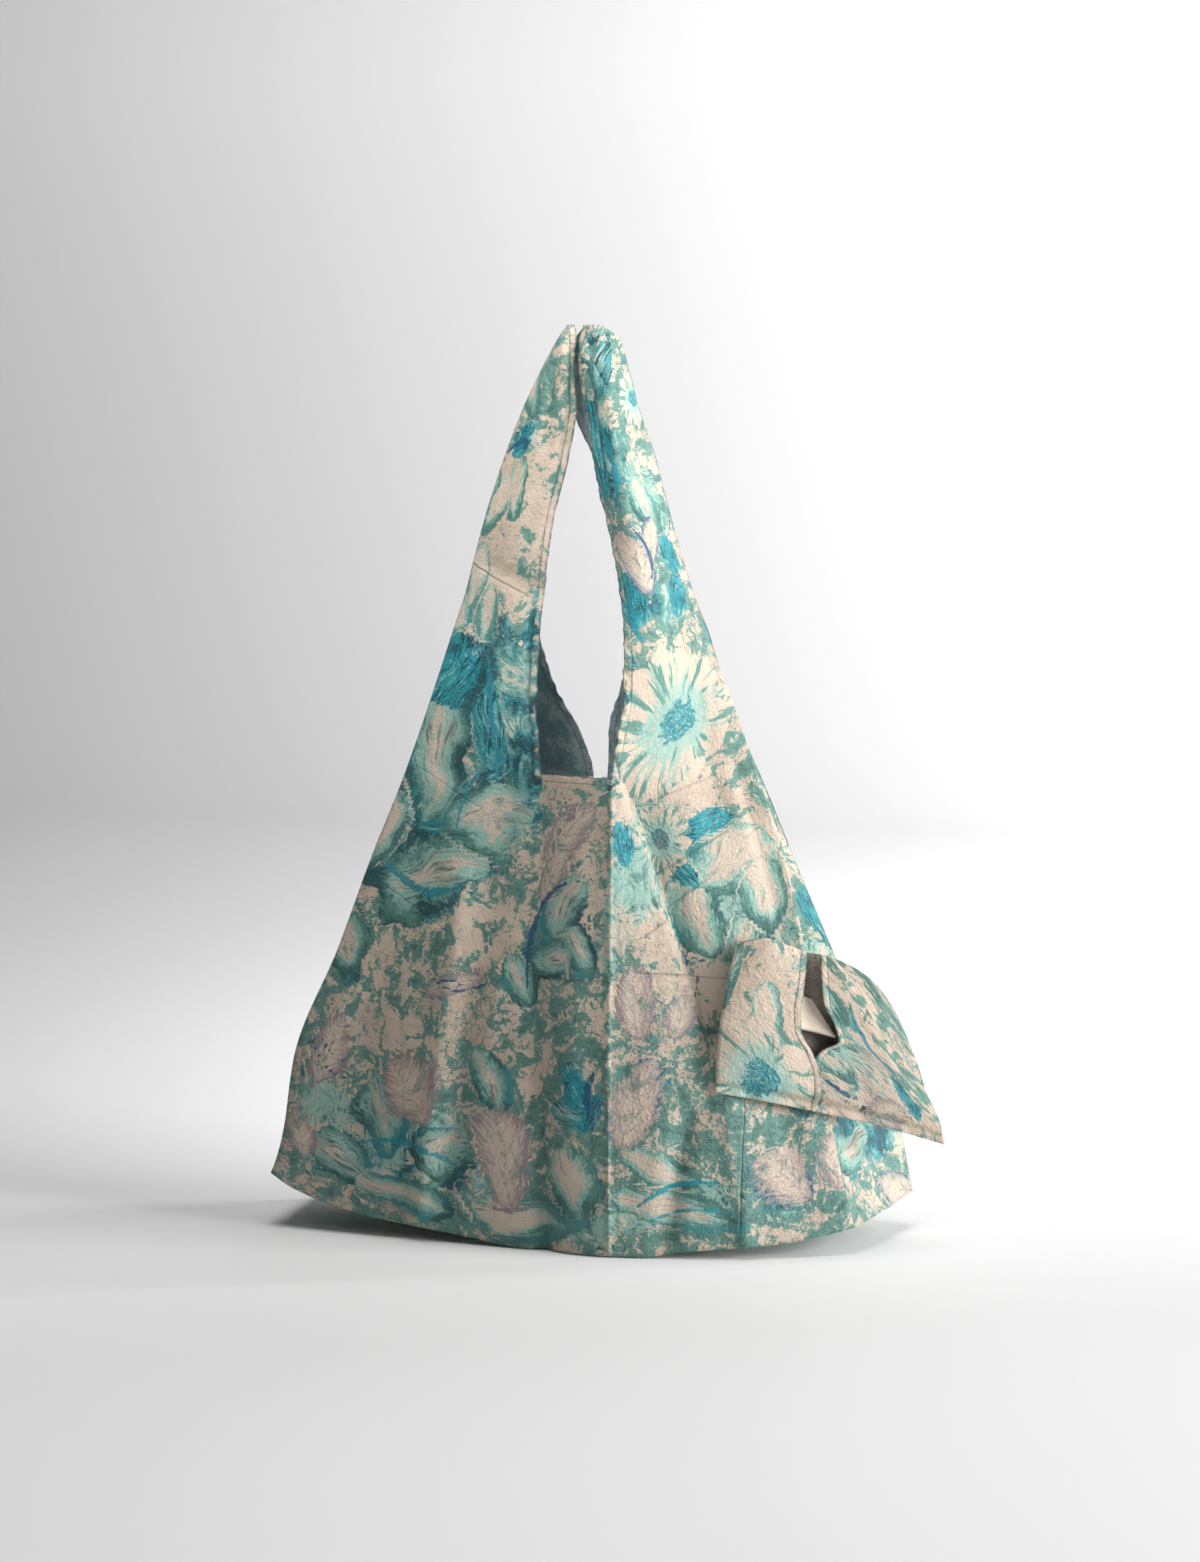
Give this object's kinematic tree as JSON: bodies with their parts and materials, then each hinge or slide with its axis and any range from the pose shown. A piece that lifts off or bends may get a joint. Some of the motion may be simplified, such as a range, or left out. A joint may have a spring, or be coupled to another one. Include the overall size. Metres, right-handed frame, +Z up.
{
  "type": "reusable shopping bag",
  "caption": "Vest-shaped shopping bag of thin printed cloth, open mouth between its shoulder handles, side gussets, and a small fold-away pouch at one side seam.",
  "frame": {"origin": "on the floor under the middle of the base, in the base's flat underside", "axes": "+Z up, +X to the right seen from the front, +Y towards the back"},
  "size_m": [0.4775, 0.1864, 0.6364],
  "materials": {
    "print_cloth": "thin silky cloth, printed in cream, sage and turquoise",
    "label_cloth": "plain white woven tape"
  },
  "bodies": {
    "root": {"front_panel": "print_cloth", "back_panel": "print_cloth", "gusset_left": "print_cloth", "gusset_right": "print_cloth", "base_panel": "print_cloth", "pouch": "print_cloth", "label": "label_cloth"}
  },
  "joints": []
}
